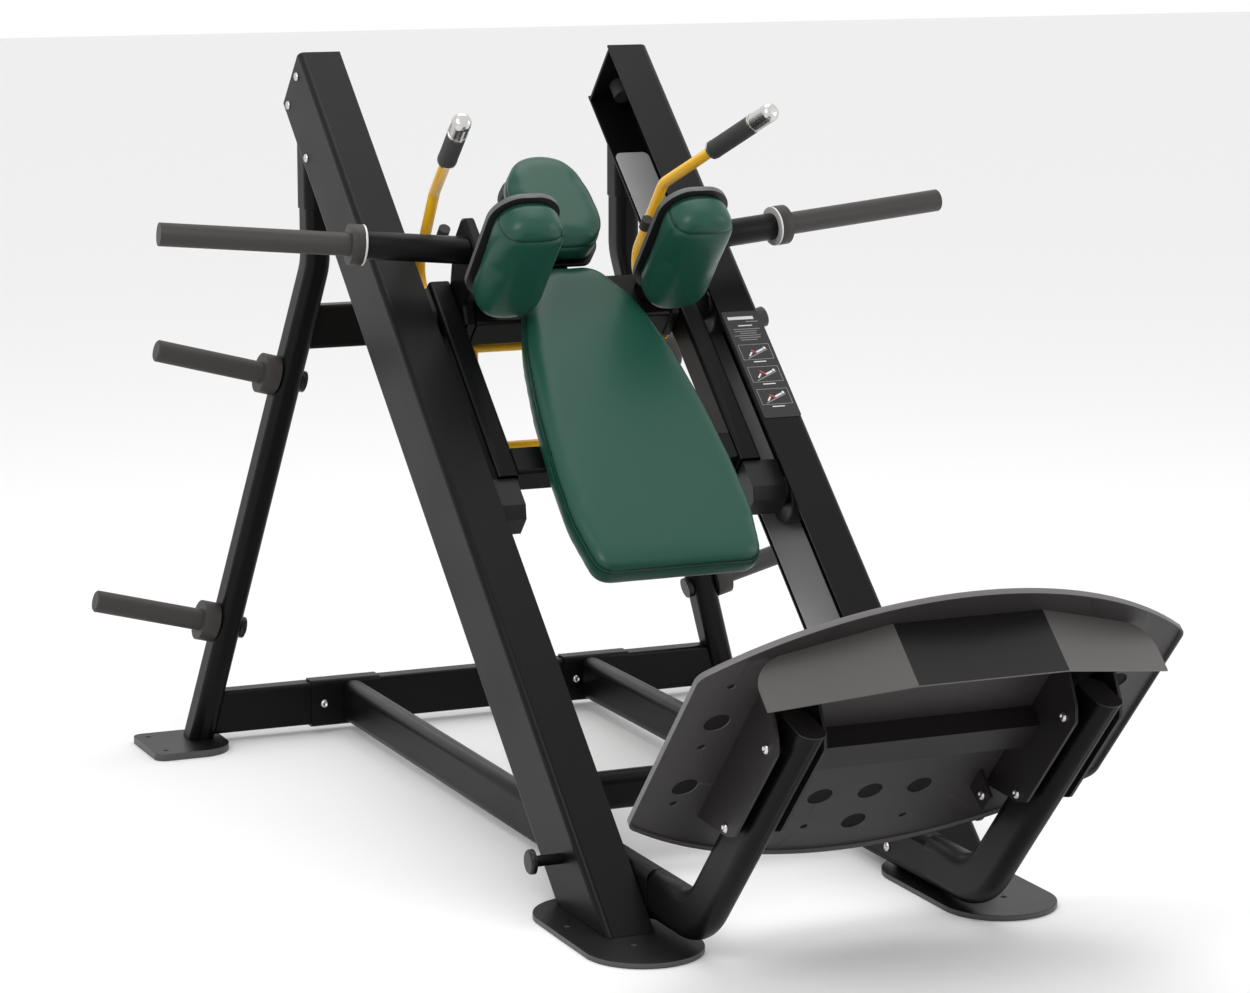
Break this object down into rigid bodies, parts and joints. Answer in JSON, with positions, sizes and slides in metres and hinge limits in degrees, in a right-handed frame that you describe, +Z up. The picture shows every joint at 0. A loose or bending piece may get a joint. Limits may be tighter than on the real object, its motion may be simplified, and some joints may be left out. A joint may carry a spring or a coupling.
{
  "type": "hack squat machine",
  "caption": "Plate-loaded hack squat machine: padded carriage with shoulder pads, load sleeves and a yellow release lever rolls on two inclined rails above a curved foot plate.",
  "frame": {"origin": "centre of the machine's footprint on the floor", "axes": "+X to the right seen from the foot plate end, +Y back towards the rear legs, +Z up"},
  "size_m": [1.8458, 2.6185, 1.5925],
  "materials": {
    "frame_black": "fine satin powder coat",
    "plate_grey": "satin powder coat",
    "tread": "matte, finely textured",
    "strip_steel": "brushed",
    "peg_grey": "matte powder coat",
    "cap_plastic": "matte",
    "wheel": "satin",
    "rubber_black": "matte, textured",
    "green_vinyl": "soft satin vinyl",
    "board_trim": "satin edge trim",
    "yellow_paint": "gloss paint",
    "chrome": "polished"
  },
  "bodies": {
    "frame": {"left_upright": "frame_black", "right_upright": "frame_black", "channel_end_plates": "frame_black", "left_front_foot": "frame_black", "right_front_foot": "frame_black", "left_rear_leg": "frame_black", "right_rear_leg": "frame_black", "leg_sockets": "frame_black", "left_rear_foot": "frame_black", "right_rear_foot": "frame_black", "low_rear_crossbar": "frame_black", "wrap_brackets": "frame_black", "upper_rear_crossbar": "frame_black", "low_front_crossbar": "frame_black", "left_base_rail": "frame_black", "right_base_rail": "frame_black", "left_arm": "frame_black", "right_arm": "frame_black", "plate_brackets": "frame_black", "plate_cross_tube": "frame_black", "arm_caps": "frame_black", "hood": "frame_black", "band_pegs": "frame_black", "foot_plate": "plate_grey", "tread_mat": "tread", "wear_strips": "strip_steel", "left_upper_storage_peg": "peg_grey", "right_upper_storage_peg": "peg_grey", "left_lower_storage_peg": "peg_grey", "right_lower_storage_peg": "peg_grey", "peg_caps": "cap_plastic", "bumpers": "rubber_black", "frame_bolts": "chrome"},
    "carriage": {"left_side_tube": "frame_black", "right_side_tube": "frame_black", "lower_cross_tube": "frame_black", "upper_cross_tube": "frame_black", "risers": "frame_black", "roller_carriers": "plate_grey", "peg_tubes": "frame_black", "load_washers": "strip_steel", "left_load_arm": "peg_grey", "right_load_arm": "peg_grey", "back_pad": "green_vinyl", "head_pad": "green_vinyl", "head_post": "frame_black", "left_shoulder_pad": "green_vinyl", "right_shoulder_pad": "green_vinyl", "shoulder_boards": "board_trim", "shoulder_supports": "frame_black", "lever_pivots": "frame_black", "carriage_bolts": "chrome"},
    "lever": {"lever_frame": "yellow_paint", "grips": "rubber_black", "lever_caps": "chrome", "stop_knobs": "rubber_black"},
    "left_lower_roller": {"left_lower_roller": "wheel"},
    "right_lower_roller": {"right_lower_roller": "wheel"},
    "left_upper_roller": {"left_upper_roller": "wheel"},
    "right_upper_roller": {"right_upper_roller": "wheel"}
  },
  "joints": [
    {"name": "carriage_slide", "type": "slide", "parent": "frame", "child": "carriage", "axis": [0, 0.7431, 0.6691], "range_m": [-0.58, 0.6]},
    {"name": "lever_swing", "type": "hinge", "parent": "carriage", "child": "lever", "pos_m": [0, 0.69201, 0.96784], "axis": [-1, 0, 0], "range_deg": [0, 20]},
    {"name": "left_lower_roll", "type": "hinge", "parent": "carriage", "child": "left_lower_roller", "pos_m": [-0.385, 0.29229, 0.65408], "axis": [1, 0, 0], "range_deg": [-700, 700]},
    {"name": "right_lower_roll", "type": "hinge", "parent": "carriage", "child": "right_lower_roller", "pos_m": [0.385, 0.29229, 0.65408], "axis": [1, 0, 0], "range_deg": [-700, 700]},
    {"name": "left_upper_roll", "type": "hinge", "parent": "carriage", "child": "left_upper_roller", "pos_m": [-0.385, 0.69284, 1.01474], "axis": [1, 0, 0], "range_deg": [-700, 700]},
    {"name": "right_upper_roll", "type": "hinge", "parent": "carriage", "child": "right_upper_roller", "pos_m": [0.385, 0.69284, 1.01474], "axis": [1, 0, 0], "range_deg": [-700, 700]}
  ],
  "couplings": [
    {"joint": "left_lower_roll", "follows": "carriage_slide", "rad_per_m": -20},
    {"joint": "right_lower_roll", "follows": "carriage_slide", "rad_per_m": -20},
    {"joint": "left_upper_roll", "follows": "carriage_slide", "rad_per_m": -20},
    {"joint": "right_upper_roll", "follows": "carriage_slide", "rad_per_m": -20}
  ]
}
